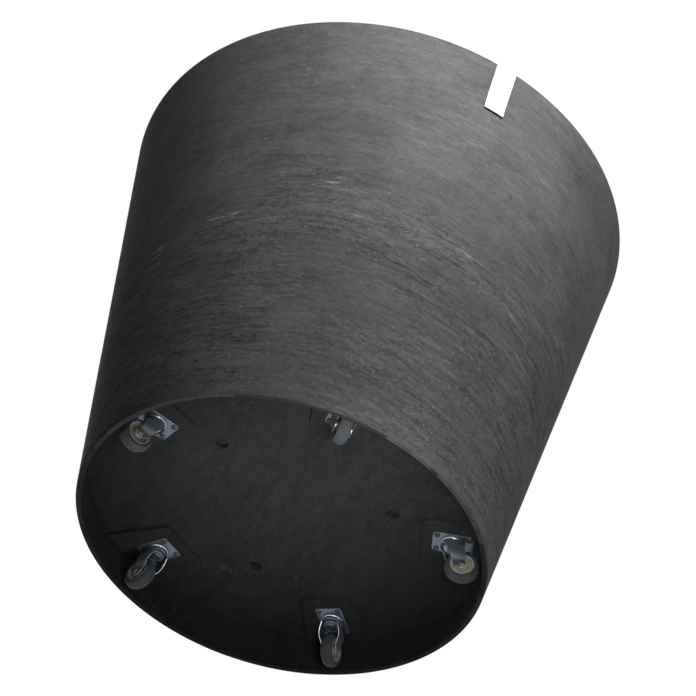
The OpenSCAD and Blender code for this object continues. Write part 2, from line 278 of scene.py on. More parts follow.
composite = {
    "fleck": 0.36,
    "tint": (1.0, 1.0, 1.01),
    "roughness": 0.88,
    "specular": 0.05,
    "wearWidth": 0.004,   # how far the light rubbed edge reaches up from the foot
    "waveDepth": 0.03,    # how far the brush marks wander up and down
    "wall": {
        "dark": 0.056, "light": 0.182,
        # For each layer: repeats a metre, octaves, their evenness, share where rough, share where smooth
        "layers": {
            "clouds": ((5, 5, 9), 6, 0.92, 1.60, 1.30),
            "bands": ((1.5, 1.5, 15), 5, 0.74, 0.80, 0.50),
            "streaks": ((14, 14, 120), 4, 0.98, 2.30, 0.45),
            "grit": ((120, 120, 240), 2, 0.90, 1.30, 0.50),
        },
        "dash": (26, 26, 150), "dashHeight": 0.362, "dashReach": 0.06,
        "speck": (320, 320, 320), "pit": (60, 60, 80),
        "roughTo": 0.33, "smoothFrom": 0.50, "bumpDepth": 0.0007,
        "speckShare": 0.75, "dashShare": 1.0, "dashSpots": (0.48, 0.62),
    },
    # The panel's tones are darker than the wall's: painted shade for the recess under the tub, over its own
    # trowelled marks
    "panel": {
        "dark": 0.031, "light": 0.069,
        "layers": {
            "clouds": ((16, 5, 10), 5, 0.80, 1.30, 1.10),
            "bands": ((58, 30, 58), 4, 0.85, 1.45, 0.70),
            "streaks": ((150, 60, 150), 3, 0.85, 0.90, 0.30),
            "grit": ((300, 300, 300), 2, 0.80, 0.60, 0.30),
        },
        "dash": (110, 40, 110), "dashHeight": 0.07, "dashReach": 0.5,
        "speck": (260, 200, 260), "pit": (60, 45, 60),
        "roughTo": 0.8, "smoothFrom": 0.9, "bumpDepth": 0.0009,
        "speckShare": 0.10, "dashShare": 0.2, "dashSpots": (0.60, 0.72),
    },
}


def compositeMaterial(name, look):
    material, tree, shader = newMaterial(name, composite["roughness"], 0, composite["specular"])
    place = objectPlace(tree)

    def spread(value, share):
        return calculate(tree, "MULTIPLY", calculate(tree, "SUBTRACT", value, 0.5), share)

    def blend(colour, share, tone):
        return mixColour(tree, share, colour, grey(tone, composite["tint"]))

    z = addNode(tree, "ShaderNodeSeparateXYZ", {0: place}).outputs["Z"]
    # Slow waves bend the brush marks a little
    waves = spread(grain(tree, place, (3, 3, 3), 2), composite["waveDepth"])
    waved = vectorMath(tree, "ADD", place, alongZ(tree, waves))
    patches = grain(tree, place, (7, 7, 12), 3, 0.65)
    # Rough ground lies low on the wall and in patches, and fades out upwards
    edge = calculate(tree, "ADD", z, spread(grain(tree, place, (4, 4, 9), 3, 0.6), 0.35))
    rough = calculate(tree, "MULTIPLY", remap(tree, patches, 0.38, 0.58, 0.30, 1, "SMOOTHSTEP"),
                      remap(tree, edge, look["roughTo"], look["smoothFrom"], 1, 0.22, "SMOOTHSTEP"))
    layers, mix = {}, 0.5
    for layer, (stretch, octaves, evenness, roughShare, smoothShare) in look["layers"].items():
        layers[layer] = grain(tree, waved, stretch, octaves, evenness)
        share = remap(tree, rough, 0, 1, smoothShare, roughShare)
        mix = calculate(tree, "ADD", mix, spread(layers[layer], share))
    dark, light = (grey(look[tone], composite["tint"]) for tone in ("dark", "light"))
    colour = mixColour(tree, mix, dark, light)
    # Pale rubbed dashes, most of them in one belt
    away = calculate(tree, "ABSOLUTE", calculate(tree, "SUBTRACT", edge, look["dashHeight"]))
    belt = remap(tree, away, 0, look["dashReach"], 1, 0.2)
    spots = grain(tree, place, (9, 9, 16), 2, 0.5)
    marks = remap(tree, grain(tree, waved, look["dash"], 4, 0.7), 0.55, 0.66, 0, look["dashShare"])
    dash = calculate(tree, "MULTIPLY", marks, remap(tree, spots, *look["dashSpots"], 0, 1, "SMOOTHSTEP"))
    colour = blend(colour, calculate(tree, "MULTIPLY", dash, belt), composite["fleck"])
    # Small pale grains of stone
    speck = remap(tree, grain(tree, place, look["speck"], 1, 0.5), 0.68, 0.76, 0, look["speckShare"])
    colour = blend(colour, calculate(tree, "MULTIPLY", speck, rough), composite["fleck"])
    # Pits, darker and sunk
    pit = remap(tree, grain(tree, waved, look["pit"], 2, 0.5), 0.25, 0.18, 0, 0.6)
    colour = blend(colour, pit, look["dark"] * 0.4)
    # The foot is rubbed a little paler along its edge
    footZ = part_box("outer_shell")[0].z
    rub = remap(tree, z, footZ, footZ + composite["wearWidth"], 0.12, 0, "SMOOTHSTEP")
    colour = blend(colour, rub, composite["fleck"] * 0.8)
    wire(tree, colour, shader.inputs["Base Color"])
    dull, rubbed = composite["roughness"] + 0.07, composite["roughness"] - 0.1
    wire(tree, remap(tree, layers["streaks"], 0.3, 0.7, dull, rubbed), shader.inputs["Roughness"])
    relief = calculate(tree, "ADD", calculate(tree, "MULTIPLY", layers["streaks"], 0.6),
                       calculate(tree, "MULTIPLY", layers["grit"], 0.25))
    relief = calculate(tree, "ADD", calculate(tree, "MULTIPLY", relief, rough),
                       calculate(tree, "MULTIPLY", layers["bands"], 0.9))
    relief = calculate(tree, "SUBTRACT", relief, pit)
    addBump(tree, shader, relief, look["bumpDepth"])
    return material


# Zinc: pressed steel sheet with a bluish clear passivation

zinc = {
    "plate": (0.135, 0.165, 0.205),
    "fork": (0.27, 0.30, 0.34),
    # A darker copy of the fork's zinc: painted shade inside the fork and on the kingpin between the legs
    "dull": (0.112, 0.140, 0.185),
    # A bright copy of the zinc: painted highlight on the dish's rounded edge and the fork's sheet edges
    "edge": (0.58, 0.61, 0.64),
    "dark": (0.060, 0.070, 0.085),
    "ball": (0.55, 0.56, 0.58),
}


def zincMaterial(name, colour, roughness, metallic=0.65, spotShare=0.16):
    material, tree, shader = newMaterial(name, roughness, metallic, 0.5)
    place = objectPlace(tree)
    cloud = grain(tree, place, (70, 70, 70), 4, 0.6)
    spots = grain(tree, place, (420, 420, 420), 3, 0.65)
    scratches = grain(tree, place, (1500, 160, 900), 2, 0.5)
    low = tuple(channel * (1 - spotShare) for channel in colour) + (1,)
    high = tuple(min(1, channel * (1 + spotShare)) for channel in colour) + (1,)
    mix = calculate(tree, "ADD", calculate(tree, "MULTIPLY", remap(tree, cloud, 0.3, 0.7, 0, 1), 0.6),
                    calculate(tree, "MULTIPLY", remap(tree, spots, 0.3, 0.7, 0, 1), 0.4))
    tone = mixColour(tree, mix, low, high)
    # A faint straw tint in the passivation
    tone = mixColour(tree, remap(tree, cloud, 0.55, 0.75, 0, 0.35), tone,
                     (colour[0] * 1.05, colour[1], colour[2] * 0.82, 1))
    wire(tree, tone, shader.inputs["Base Color"])
    wire(tree, remap(tree, scratches, 0.3, 0.7, roughness - 0.09, roughness + 0.09),
         shader.inputs["Roughness"])
    addBump(tree, shader, calculate(tree, "ADD", scratches, spots), 0.00003, 0.6)
    return material


# Cream hub plastic and grey tyre rubber

wheelFinish = {
    "cream": (0.66, 0.68, 0.54),
    "creamGrime": (0.38, 0.40, 0.30),
    # A brighter copy of the cream: painted highlight on the hub's lip
    "creamLip": (0.88, 0.90, 0.84),
    "rubber": (0.112, 0.124, 0.136),
    "rubberDust": (0.185, 0.19, 0.19),
}


def creamMaterial(name, cream, grime):
    material, tree, shader = newMaterial(name, 0.42, 0, 0.4)
    place = objectPlace(tree)
    cloud = grain(tree, place, (60, 60, 60), 4, 0.6)
    fine = grain(tree, place, (600, 600, 600), 2, 0.5)
    tone = mixColour(tree, remap(tree, cloud, 0.42, 0.72, 0, 0.8), cream + (1,), grime + (1,))
    wire(tree, tone, shader.inputs["Base Color"])
    wire(tree, remap(tree, cloud, 0.3, 0.7, 0.36, 0.6), shader.inputs["Roughness"])
    addBump(tree, shader, fine, 0.00004, 0.5)
    return material


def rubberMaterial():
    material, tree, shader = newMaterial("greyTyre", 0.72, 0, 0.3)
    place = objectPlace(tree)
    cloud = grain(tree, place, (90, 90, 90), 4, 0.6)
    fine = grain(tree, place, (900, 900, 900), 3, 0.6)
    tone = mixColour(tree, remap(tree, cloud, 0.45, 0.75, 0, 0.7),
                     wheelFinish["rubber"] + (1,), wheelFinish["rubberDust"] + (1,))
    wire(tree, tone, shader.inputs["Base Color"])
    wire(tree, remap(tree, cloud, 0.3, 0.7, 0.66, 0.84), shader.inputs["Roughness"])
    addBump(tree, shader, fine, 0.00008, 0.6)
    return material


# Tag: matt white coated paper

tagFinish = {
    "paper": (0.80, 0.80, 0.80),
    "worn": (0.70, 0.70, 0.69),
}


def tagMaterial():
    material, tree, shader = newMaterial("whiteTag", 0.6, 0, 0.35)
    place = objectPlace(tree)
    fibre = grain(tree, place, (900, 900, 500), 3, 0.6)
    cloud = grain(tree, place, (25, 25, 25), 3, 0.5)
    tone = mixColour(tree, remap(tree, cloud, 0.4, 0.7, 0, 0.6),
                     tagFinish["paper"] + (1,), tagFinish["worn"] + (1,))
    wire(tree, tone, shader.inputs["Base Color"])
    wire(tree, remap(tree, fibre, 0.3, 0.7, 0.52, 0.7), shader.inputs["Roughness"])
    addBump(tree, shader, fibre, 0.00003, 0.5)
    return material


materials = {
    "wall": compositeMaterial("brushedComposite", composite["wall"]),
    "panel": compositeMaterial("trowelledComposite", composite["panel"]),
    "tag": tagMaterial(),
    "plate": zincMaterial("zincPlate", zinc["plate"], 0.34),
    "fork": zincMaterial("zincFork", zinc["fork"], 0.46),
    "dull": zincMaterial("dullFork", zinc["dull"], 0.44),
    "edge": zincMaterial("zincEdge", zinc["edge"], 0.30, 0.9, 0.12),
    "dark": zincMaterial("darkZinc", zinc["dark"], 0.5),
    "ball": zincMaterial("ballSteel", zinc["ball"], 0.18, 1.0, 0.08),
    "cream": creamMaterial("creamHub", wheelFinish["cream"], wheelFinish["creamGrime"]),
    "lip": creamMaterial("creamLip", wheelFinish["creamLip"], wheelFinish["cream"]),
    "rubber": rubberMaterial(),
}
print("materials made:", len(materials))


def dress(piece, *names):
    for name in names:
        piece.data.materials.append(materials[name])


# Geometry Nodes helpers

def newTree(name, sockets):
    tree = bpy.data.node_groups.new(name, "GeometryNodeTree")
    tree.interface.new_socket("Geometry", in_out="INPUT", socket_type="NodeSocketGeometry")
    for socketName, kind, value in sockets:
        socket = tree.interface.new_socket(socketName, in_out="INPUT", socket_type="NodeSocket" + kind)
        if value is not None:
            socket.default_value = value
    tree.interface.new_socket("Geometry", in_out="OUTPUT", socket_type="NodeSocketGeometry")
    return tree, addNode(tree, "NodeGroupInput").outputs, addNode(tree, "NodeGroupOutput")


# Sets the tree's inputs by their identifiers, then turns the result into a plain mesh
def runTree(piece, tree, values, sharpAngle=35):
    modifier = piece.modifiers.new(tree.name, "NODES")
    modifier.node_group = tree
    for item in tree.interface.items_tree:
        if item.item_type == "SOCKET" and item.in_out == "INPUT" and item.name in values:
            modifier[item.identifier] = values[item.name]
    return applyModifiers(piece, piece.name, sharpAngle)


def closeTree(tree, geometry, material, groupOutput):
    real = addNode(tree, "GeometryNodeRealizeInstances", {0: geometry})
    done = addNode(tree, "GeometryNodeSetMaterial", {"Geometry": real.outputs[0], "Material": material})
    tree.links.new(done.outputs[0], groupOutput.inputs[0])


# Tub: the wall's section turned about the axis, with the slight waviness of a hand-laid shell

tub = {
    "wall": 0.009,
    "lipWidth": 0.024,
    "lipDepth": 0.026,
    "rimRound": 0.003,
    "footRound": 0.002,
    "roundSteps": 5,
    "rows": 70,
    "segments": 360,
    "wavyDepth": 0.0007,
    "wavySize": 5.0,       # waves a metre
    "ridgeDepth": 0.00035,
    "seed": 4.0,
}


def tubProfile():
    low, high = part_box("outer_shell")
    nodePoints = [vertex.co for vertex in frame["nodes"]["outer_shell"].data.vertices]
    footRadius = max(math.hypot(p.x, p.y) for p in nodePoints if p.z < low.z + tub["footRound"] + tiny)
    rimRadius = max(math.hypot(p.x, p.y) for p in nodePoints)
    rise = high.z - low.z
    slope = math.atan2(rimRadius - footRadius, rise)

    def outside(z):
        return footRadius + (z - low.z) * math.tan(slope)

    foot, rim, steps, rows = tub["footRound"], tub["rimRound"], tub["roundSteps"], tub["rows"]
    lean = math.degrees(slope)
    footOut = (outside(low.z + foot) - foot / math.cos(slope), low.z + foot)
    rimOut = (outside(high.z - rim) - rim / math.cos(slope), high.z - rim)
    lipInside = rimRadius - tub["lipWidth"]
    rimIn = (lipInside + rim, high.z - rim)
    footIn = (outside(low.z + foot) - tub["wall"] + foot / math.cos(slope), low.z + foot)
    lipFall = (outside(high.z - tub["lipDepth"]) - tub["wall"] - lipInside) / (1 + math.tan(slope))
    rimTurn = arc(rimOut, rim, -lean, 90, steps) + arc(rimIn, rim, 90, 180, steps)
    inner = (lipInside + lipFall, high.z - tub["lipDepth"] - lipFall)
    footTurn = arc(footIn, foot, 180 - lean, 270, steps)
    points = arc(footOut, foot, -90, -lean, steps)
    points += between(points[-1], rimTurn[0], rows) + rimTurn
    points += [(lipInside, high.z - tub["lipDepth"]), inner]
    return points + between(inner, footTurn[0], rows // 2) + footTurn


# The tree turns the section, an outline in the XZ plane, and moves the wall in and out
def turnTree():
    tree, given, result = newTree("turnSection", [
        ("Segments", "Int", 64), ("Wavy depth", "Float", 0.0), ("Wavy size", "Float", 1.0),
        ("Ridge depth", "Float", 0.0), ("Seed", "Float", 0.0), ("Material", "Material", None)])
    sweep = addNode(tree, "GeometryNodeMeshToCurve", {0: given["Geometry"]})
    circle = addNode(tree, "GeometryNodeCurvePrimitiveCircle", {
        "Radius": 1.0, "Resolution": given["Segments"]})
    surface = addNode(tree, "GeometryNodeCurveToMesh", {
        "Curve": circle.outputs[0], "Profile Curve": sweep.outputs[0]})
    position = addNode(tree, "GeometryNodeInputPosition").outputs[0]
    # Broad waves, and fine ridges that run round the wall
    broad = addNode(tree, "ShaderNodeTexNoise", noise_dimensions="4D", inputs={
        "Vector": position, "W": given["Seed"], "Scale": given["Wavy size"], "Detail": 1})
    narrow = addNode(tree, "ShaderNodeTexNoise", noise_dimensions="4D", inputs={
        "Vector": vectorMath(tree, "MULTIPLY", position, (6, 6, 90)), "W": given["Seed"], "Scale": 1})
    # Both only take away, so the wall keeps inside its size
    wave, ridge = (
        calculate(tree, "MULTIPLY", calculate(tree, "SUBTRACT", noise.outputs[0], 0.8), given[depth])
        for noise, depth in ((broad, "Wavy depth"), (narrow, "Ridge depth")))
    normal = addNode(tree, "GeometryNodeInputNormal").outputs[0]
    offset = vectorMath(tree, "SCALE", normal, calculate(tree, "ADD", wave, ridge))
    move = addNode(tree, "GeometryNodeSetPosition", {"Geometry": surface.outputs[0], "Offset": offset})
    closeTree(tree, move.outputs[0], given["Material"], result)
    return tree


def makeTubWall():
    profile = tubProfile()[::-1]
    mesh = bpy.data.meshes.new("wallShell")
    # The sweep's circle has radius 1 and lays the section's Y downwards
    mesh.from_pydata([(radius - 1, -height, 0) for radius, height in profile],
                     [(i, (i + 1) % len(profile)) for i in range(len(profile))], [])
    wall = putObject("wallShell", mesh)
    runTree(wall, turnTree(), {
        "Segments": tub["segments"], "Wavy depth": tub["wavyDepth"], "Wavy size": tub["wavySize"],
        "Ridge depth": tub["ridgeDepth"], "Seed": tub["seed"], "Material": materials["wall"]}, 40)
    # The skirt's inside takes the panel's darker copy, painted shade for the recess under the tub
    dress(wall, "panel")
    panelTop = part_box("base_panel")[1].z
    for polygon in wall.data.polygons:
        middle, normal = polygon.center, polygon.normal
        if middle.z < panelTop and normal.x * middle.x + normal.y * middle.y < 0:
            polygon.material_index = 1
    return wall


wallShell = makeTubWall()
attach(wallShell, "tub")
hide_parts("outer_shell")
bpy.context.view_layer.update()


# Base panel: a disc with five raised pads below and three drain holes

panel = {
    "thickness": 0.009,
    "padRise": 0.0065,
    "padInner": 0.1955,       # from the tub's axis to a pad's straight inner edge
    "padHalfAngle": 10.8,
    "padCorner": 0.006,
    "padFillet": 0.0011,
    "drainRadius": 0.0095,
    "drainCircle": 0.153,
    "drainAngles": (90, 210, 330),
    "drainChamfer": 0.0012,
    "segments": 180,
}


# A pad's outline, moved outwards by spread
def padOutline(spread, outerRadius):
    half = math.radians(panel["padHalfAngle"])
    inner = panel["padInner"] - spread
    corner = panel["padCorner"] + spread
    side = spread / math.cos(half)
    reach = inner + corner
    middle = (reach * math.sin(half) + side - corner) / math.cos(half)
    lean = math.degrees(half)
    points = arc((reach, middle), corner, 90 + lean, 180, 8)
    points += arc((reach, -middle), corner, 180, 270 - lean, 8)
    reachAngle = half + side / outerRadius
    return points + [polar(outerRadius, reachAngle * (2 * i / 8 - 1)) for i in range(9)]


def makePad(angle, baseZ, outerRadius):
    fillet = panel["padFillet"]
    lowZ = baseZ - panel["padRise"]
    rings = [(fillet, baseZ + fillet), (fillet, baseZ + tiny), (0.3 * fillet, baseZ - 0.3 * fillet),
             (0, baseZ - fillet), (0, lowZ + fillet), (-0.3 * fillet, lowZ + 0.3 * fillet), (-fillet, lowZ)]
    points, faces, loops = [], [], []
    for spread, height in rings:
        outline = padOutline(spread, outerRadius)
        loops.append([len(points) + i for i in range(len(outline))])
        points += [(x, y, height) for x, y in outline]
    for lower, upper in zip(loops, loops[1:]):
        faces += bridge(lower, upper)
    faces += [loops[0], loops[-1]]
    pad = makePiece("pad", points, faces)
    return finishMesh(pad, Matrix.Rotation(angle, 4, "Z"))


def drainCutter(angle, lowZ, highZ):
    radius, chamfer = panel["drainRadius"], panel["drainChamfer"]
    profile = [(0, lowZ - chamfer), (radius + 2 * chamfer, lowZ - chamfer), (radius, lowZ + chamfer),
               (radius, highZ - chamfer), (radius + 2 * chamfer, highZ + chamfer), (0, highZ + chamfer)]
    cutter = makePiece("drainCutter", *turn(profile, 48))
    return finishMesh(cutter, Matrix.Translation((*polar(panel["drainCircle"], angle), 0)))


def cutWith(piece, other, operation):
    addModifier(piece, "BOOLEAN", object=other, operation=operation, solver="EXACT")
    applyModifiers(piece, piece.name, 35)
    takeAway(other)


def makePanel():
    low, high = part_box("base_panel")
    baseZ = high.z - panel["thickness"]
    nodePoints = [vertex.co for vertex in frame["nodes"]["base_panel"].data.vertices]
    topRadius = max(math.hypot(p.x, p.y) for p in nodePoints if p.z > high.z - tiny * 10)
    lowRadius = max(math.hypot(p.x, p.y) for p in nodePoints if p.z < low.z + tiny * 10)
    baseRadius = lowRadius + (topRadius - lowRadius) * (baseZ - low.z) / (high.z - low.z)
    profile = [(0, baseZ), (baseRadius, baseZ), (topRadius, high.z), (0, high.z)]
    disc = makePiece("basePanel", *turn(profile, panel["segments"]))
    for number in castorNumbers:
        head = middleOf(castorNode(number, "kingpin"))
        pad = makePad(math.atan2(head.y, head.x), baseZ, lowRadius)
        cutWith(disc, pad, "UNION")
    for angle in panel["drainAngles"]:
        cutWith(disc, drainCutter(math.radians(angle), baseZ, high.z), "DIFFERENCE")
    disc.data.materials.clear()
    dress(disc, "panel")
    return disc


basePanel = makePanel()
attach(basePanel, "tub")
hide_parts("base_panel")
print("base panel made:", len(basePanel.data.polygons), "faces")


# Tag: a strip folded over the rim, its lower end lifting a little from the wall

tag = {
    "thickness": 0.0008,
    "gap": 0.0003,
    "drop": 0.091,
    "tuck": 0.020,
    "curl": 0.0022,           # how far the lower end lifts from the wall
    "curlFrom": 0.55,         # the share of the drop where it starts to lift
    "edgeRound": 0.0002,
    "rows": 26,
    "columns": 14,
}


def makeTag():
    angles = [math.atan2(vertex.co.y, vertex.co.x) for vertex in frame["nodes"]["rim_tag"].data.vertices]
    start, end = min(angles), max(angles)
    profile = tubProfile()
    rim = tub["rimRound"]
    foot, top = profile[tub["roundSteps"]], profile[tub["roundSteps"] + tub["rows"]]
    slope = math.atan2(top[0] - foot[0], top[1] - foot[1])
    rimRadius = max(radius for radius, height in profile)
    rimTop = max(height for radius, height in profile)
    outC = (top[0] - rim * math.cos(slope), rimTop - rim)
    inC = (rimRadius - tub["lipWidth"] + rim, rimTop - rim)
    away = rim + tag["gap"] + tag["thickness"] / 2
    path = []
    for i in range(tag["rows"]):
        share = 1 - i / tag["rows"]
        down = tag["drop"] * share
        lifted = away + tag["curl"] * max(0, (share - tag["curlFrom"]) / (1 - tag["curlFrom"])) ** 2
        path.append((outC[0] + lifted * math.cos(slope) - down * math.sin(slope),
                     outC[1] - lifted * math.sin(slope) - down * math.cos(slope)))
    path += arc(outC, away, -math.degrees(slope), 90, 8) + arc(inC, away, 90, 180, 8)
    path += [(inC[0] - away, inC[1] - tag["tuck"] * i / 6) for i in range(1, 7)]
    points, faces = [], []
    for radius, height in path:
        for j in range(tag["columns"] + 1):
            points.append((*polar(radius, start + (end - start) * j / tag["columns"]), height))
    wide = tag["columns"] + 1
    for i in range(len(path) - 1):
        for j in range(tag["columns"]):
            faces.append((i * wide + j, i * wide + j + 1, (i + 1) * wide + j + 1, (i + 1) * wide + j))
    strip = makePiece("whiteTag", points, faces)
    addModifier(strip, "SOLIDIFY", thickness=tag["thickness"], offset=0, use_even_offset=True)
    addModifier(strip, "BEVEL", width=tag["edgeRound"], segments=2, limit_method="ANGLE",
                angle_limit=math.radians(60))
    applyModifiers(strip, "whiteTag", 40)
    dress(strip, "tag")
    return strip


whiteTag = makeTag()
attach(whiteTag, "tub")
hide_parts("rim_tag")
print("tag made")


# Castor head: pressed plate, kingpin and lower race

head = {
    "plateLength": 0.060,
    "plateWidth": 0.042,
    "plateSheet": 0.002,
    "plateCorner": 0.006,
    "pitchLong": 0.048,
    "pitchAcross": 0.030,
    "dishRadius": 0.017,
    "dishDrop": 0.002,
    # The pressing's wall: steps out from its radius, and rises from its floor or from the sheet's face
    "dishFloorEdge": [(-0.0010, 0), (-0.0006, 0.0001), (-0.0002, 0.0005), (0.0001, 0.0011)],
    "dishSheetEdge": [(0.0003, -0.0004), (0.0006, -0.0001), (0.0011, 0)],
    "ball": 0.0032,
    "upperBalls": 12,
    "lowerBalls": 8,
    "upperRing": 0.0125,
    "lowerRing": 0.0084,
    "grooveDepth": 0.0009,
    "raceRadius": 0.0115,
    "pinRadius": 0.005,
    "pinFootRadius": 0.0075,
    "pinFootHeight": 0.0022,
    # The riveted foot's face: shares of its radius, and rises from its lowest point
    "pinFootFace": [(0, 0.0009), (0.20, 0.0008), (0.32, 0.0003), (0.46, 0), (0.78, 0.0002), (0.93, 0.0007),
                    (1, 0.0014)],
    "screwHead": 0.0042,
    "screwHeight": 0.0024,
}


# A half-round groove for the balls, as points of a section; side is 1 for a groove that opens upwards
def groove(ring, height, side):
    radius = head["ball"] / 2 + 0.0001
    rise = radius - head["grooveDepth"]
    spread = math.degrees(math.acos(rise / radius))
    centre = (ring, height + side * rise)
    return arc(centre, radius, -side * 90 - spread, -side * 90 + spread, 8)


def platePoints():
    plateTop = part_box(castorNode(castorNumbers[0], "plate"))[1].z
    lowZ = plateTop - head["plateSheet"]
    dishZ = lowZ - head["dishDrop"]
    corner = head["plateCorner"]
    halfLong, halfWide = head["plateLength"] / 2 - corner, head["plateWidth"] / 2 - corner
    outline = []
    for signX, signY, start in ((1, 1, 0), (-1, 1, 90), (-1, -1, 180), (1, -1, 270)):
        outline += arc((signX * halfLong, signY * halfWide), corner, start, start + 90, 6)
        nextX, nextY = (-signX, signY) if signX == signY else (signX, -signY)
        outX, outY = polar(corner, math.radians(start + 90))
        outline += between(outline[-1], (nextX * halfLong + outX, nextY * halfWide + outY), 8)
    dish, sheet, pin = head["dishRadius"], head["plateSheet"], head["pinRadius"] + 0.00005
    circles = [(pin, dishZ)] + groove(head["upperRing"], dishZ, 1)
    paintedHighlightStart = len(circles)
    circles += [(dish + out, dishZ + rise) for out, rise in head["dishFloorEdge"]]
    circles += [(dish + out, lowZ + rise) for out, rise in head["dishSheetEdge"]]
    rims = [(0.0006, lowZ), (0.0002, lowZ + 0.0002), (0, lowZ + 0.0006), (0, plateTop - 0.0004),
            (0.0004, plateTop)]
    back = [(dish + 0.0005, plateTop), (dish - 0.0008, plateTop - 0.0003),
            (dish - sheet, plateTop - head["dishDrop"]), (pin, plateTop - head["dishDrop"])]
    points, loops = [], []

    def addLoop(loop, height):
        loops.append([len(points) + i for i in range(len(loop))])
        points.extend((x, y, height) for x, y in loop)

    def circle(radius):
        return [polar(radius, math.atan2(y, x)) for x, y in outline]

    for radius, height in circles:
        addLoop(circle(radius), height)
    for inset, height in rims:
        shrink = [(x - inset * math.copysign(1, x) * min(1, abs(x) / halfLong),
                   y - inset * math.copysign(1, y) * min(1, abs(y) / halfWide)) for x, y in outline]
        addLoop(shrink, height)
    for radius, height in back:
        addLoop(circle(radius), height)
    loops.append(loops[0])
    faces = []
    for lower, upper in zip(loops, loops[1:]):
        faces += bridge(lower, upper)
    # The pressing's rounded edge gets the bright zinc copy, a painted highlight
    paintedHighlightRows = len(head["dishFloorEdge"]) - 1
    paintedHighlightFaces = range(paintedHighlightStart * len(outline), (paintedHighlightStart + paintedHighlightRows) * len(outline))
    return points, faces, paintedHighlightFaces


def makePlateModel():
    points, faces, paintedHighlightFaces = platePoints()
    plate = makePiece("plateModel", points, faces, 30)
    dress(plate, "plate", "edge")
    for index in paintedHighlightFaces:
        plate.data.polygons[index].material_index = 1
    return plate


def makeKingpinModel():
    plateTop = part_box(castorNode(castorNumbers[0], "plate"))[1].z
    low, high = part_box(castorNode(castorNumbers[0], "kingpin"))
    foot, pin = head["pinFootRadius"], head["pinRadius"]
    footTop = low.z + head["pinFootHeight"]
    headRadius = head["upperRing"] - head["ball"]
    seat = plateTop - head["dishDrop"]
    profile = [(foot * share, low.z + rise) for share, rise in head["pinFootFace"]]
    profile += [(foot, footTop), (pin, footTop), (pin, seat), (headRadius, seat),
                (headRadius - 0.0008, high.z - 0.0002), (headRadius - 0.0016, high.z), (0, high.z)]
    pinModel = makePiece("kingpinModel", *turn(profile, 48))
    # The kingpin takes the fork's darker copy, painted shade between the legs
    dress(pinModel, "dull")
    return pinModel


def makeRaceModel():
    low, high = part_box(castorNode(castorNumbers[0], "lower_race"))
    radius, pin, soft = head["raceRadius"], head["pinRadius"] + 0.00005, 0.0004
    profile = [(pin, low.z), (radius - soft, low.z), (radius, low.z + soft), (radius, high.z - soft),
               (radius - soft, high.z)]
    profile += groove(head["lowerRing"], high.z, 1)[::-1] + [(pin, high.z)]
    race = makePiece("raceModel", *turn(profile, 48, closed=True))
    dress(race, "fork")
    return race


# Pan-head screw with a cross recess, its head towards -Z
def makeScrewModel():
    radius, height = head["screwHead"], head["screwHeight"]
    arm, half = radius * 0.5, radius * 0.13
    between = (arm + half) / 2
    quarter = [(arm, 0), (arm, half), (between, half), (half, half), (half, between), (half, arm)]
    cross = []
    for i in range(4):
        c, s = (1, 0, -1, 0)[i], (0, 1, 0, -1)[i]
        cross += [(x * c - y * s, x * s + y * c) for x, y in quarter]
    count = len(cross)
    dome = ((1, 0), (1, 0.38), (0.97, 0.60), (0.88, 0.80), (0.72, 0.94))
    points, faces, loops = [(0, 0, 0)], [], []
    for scale, share in dome:
        loops.append([len(points) + i for i in range(count)])
        points += [(*polar(radius * scale, 2 * math.pi * i / count), -height * share) for i in range(count)]
    for scale, share in ((1, 1.0), (0.92, 0.9), (0.6, 0.35)):
        loops.append([len(points) + i for i in range(count)])
        points += [(x * scale, y * scale, -height * share) for x, y in cross]
    for lower, upper in zip(loops, loops[1:]):
        faces += bridge(lower, upper)
    faces += [(0, loops[0][i], loops[0][(i + 1) % count]) for i in range(count)]
    faces.append(loops[-1])
    return makePiece("screwModel", points, faces, 40)


# Screws at the corners of every plate: a small grid of points on a ring of castors
def screwTree(screwModel):
    tree, given, result = newTree("plateScrews", [
        ("Castors", "Int", 5), ("Ring radius", "Float", 0.2), ("First angle", "Float", 0.0),
        ("Pitch along", "Float", 0.05), ("Pitch across", "Float", 0.03), ("Height", "Float", 0.0),
        ("Seed", "Int", 0), ("Screw", "Object", None), ("Material", "Material", None)])
    grid = addNode(tree, "GeometryNodeMeshGrid", {
        "Vertices X": 2, "Vertices Y": 2, "Size X": given["Pitch along"], "Size Y": given["Pitch across"]})
    model = addNode(tree, "GeometryNodeObjectInfo", {"Object": given["Screw"]}, transform_space="ORIGINAL")
    ring = addNode(tree, "GeometryNodeMeshCircle", {
        "Vertices": given["Castors"], "Radius": given["Ring radius"]})
    # Each castor's grid turns to face along the tub's radius
    index = addNode(tree, "GeometryNodeInputIndex").outputs[0]
    stepAngle = calculate(tree, "DIVIDE", 2 * math.pi, given["Castors"])
    corners = addNode(tree, "GeometryNodeInstanceOnPoints", {
        "Points": ring.outputs["Mesh"], "Instance": grid.outputs["Mesh"],
        "Rotation": alongZ(tree, calculate(tree, "MULTIPLY", index, stepAngle))})
    plain = addNode(tree, "GeometryNodeRealizeInstances", {0: corners.outputs[0]})
    # Every screw was driven to its own angle
    drive = addNode(tree, "FunctionNodeRandomValue", {"Seed": given["Seed"]}, data_type="FLOAT")
    for limit, socket in zip((0, math.pi / 2), socketsOf(drive.inputs, "VALUE")):
        socket.default_value = limit
    screws = addNode(tree, "GeometryNodeInstanceOnPoints", {
        "Points": plain.outputs[0], "Instance": model.outputs["Geometry"],
        "Rotation": alongZ(tree, socketsOf(drive.outputs, "VALUE")[0])})
    place = addNode(tree, "GeometryNodeTransform", {
        "Geometry": screws.outputs[0], "Translation": alongZ(tree, given["Height"]),
        "Rotation": alongZ(tree, given["First angle"])})
    closeTree(tree, place.outputs[0], given["Material"], result)
    return tree


